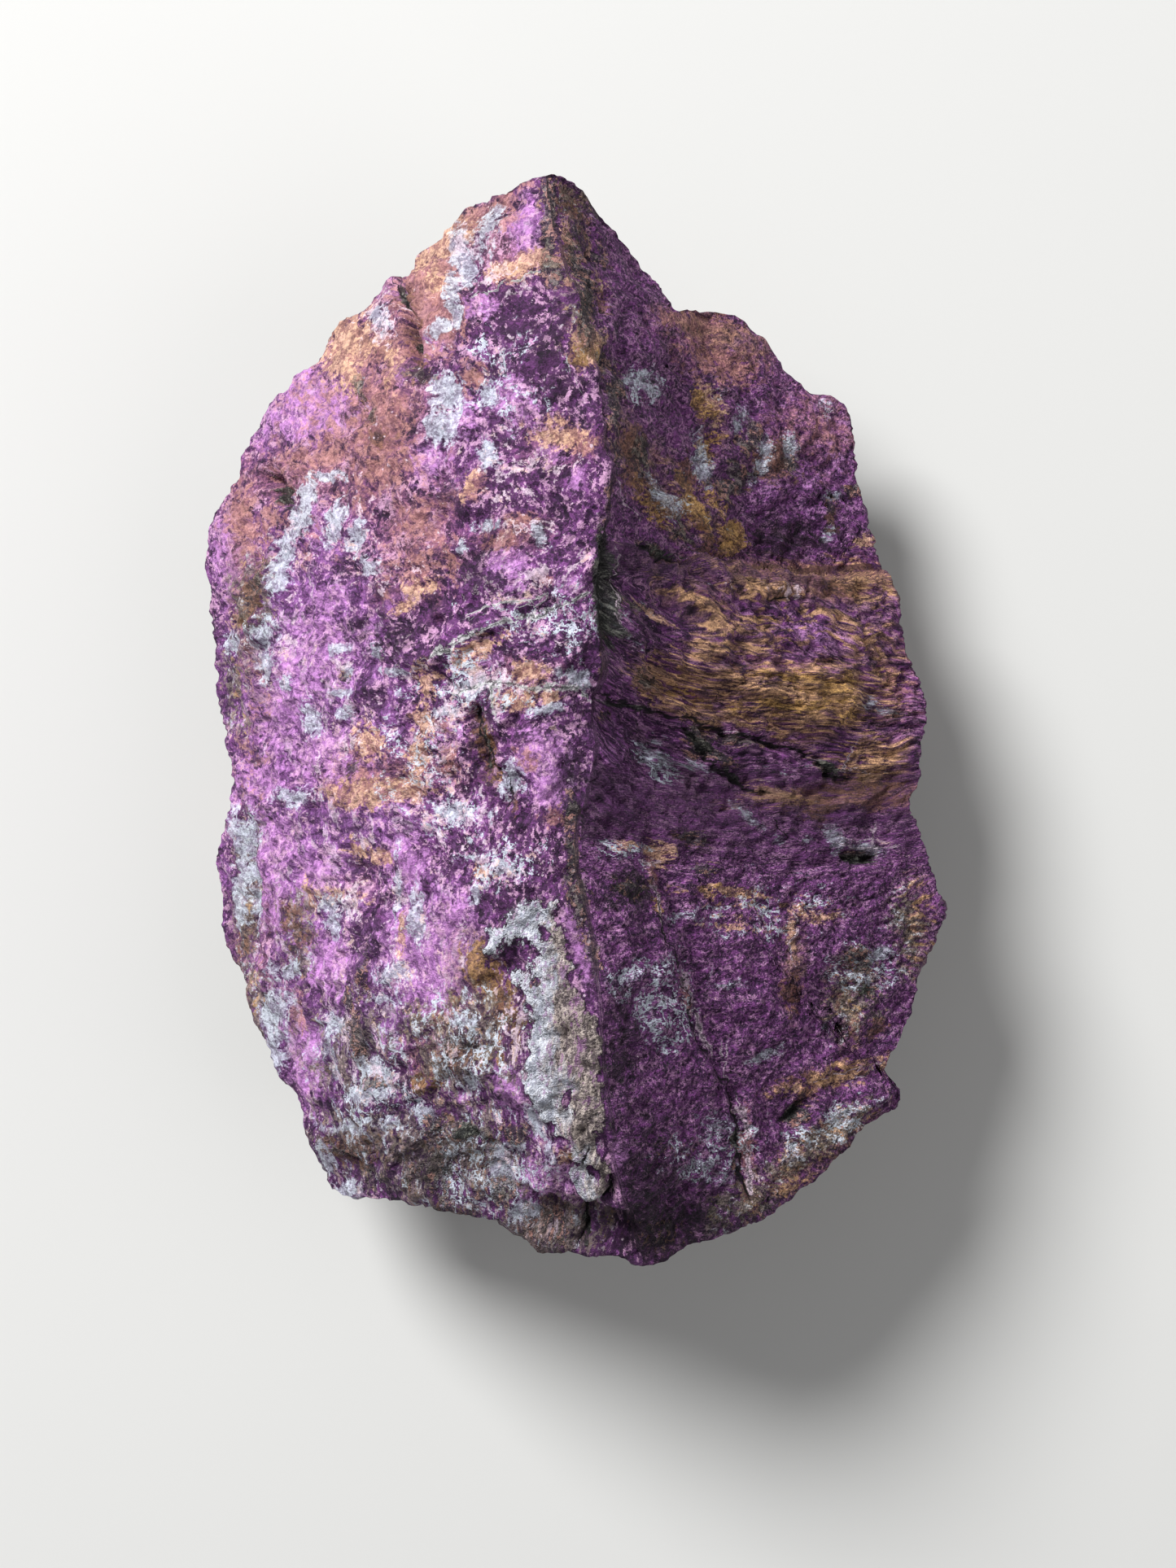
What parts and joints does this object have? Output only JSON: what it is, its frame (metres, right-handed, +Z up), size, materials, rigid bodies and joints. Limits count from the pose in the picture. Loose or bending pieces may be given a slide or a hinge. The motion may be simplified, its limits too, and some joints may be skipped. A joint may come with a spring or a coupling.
{
  "type": "rough mineral specimen",
  "caption": "Rough broken purpurite stone with a long sharp ridge, lying on its flat back, with purple, tan and grey fibrous faces.",
  "frame": {"origin": "centre of the stone's bounding box, on the flat back that it rests on", "axes": "+Z up out of the resting surface, +Y along the ridge towards the pointed end, +X towards the side below the steep flank"},
  "size_m": [0.0414, 0.058, 0.026],
  "materials": {
    "purple_phosphate": "rough, dull stone with a faint sparkle"
  },
  "bodies": {
    "root": {"purpurite_stone": "purple_phosphate"}
  },
  "joints": []
}
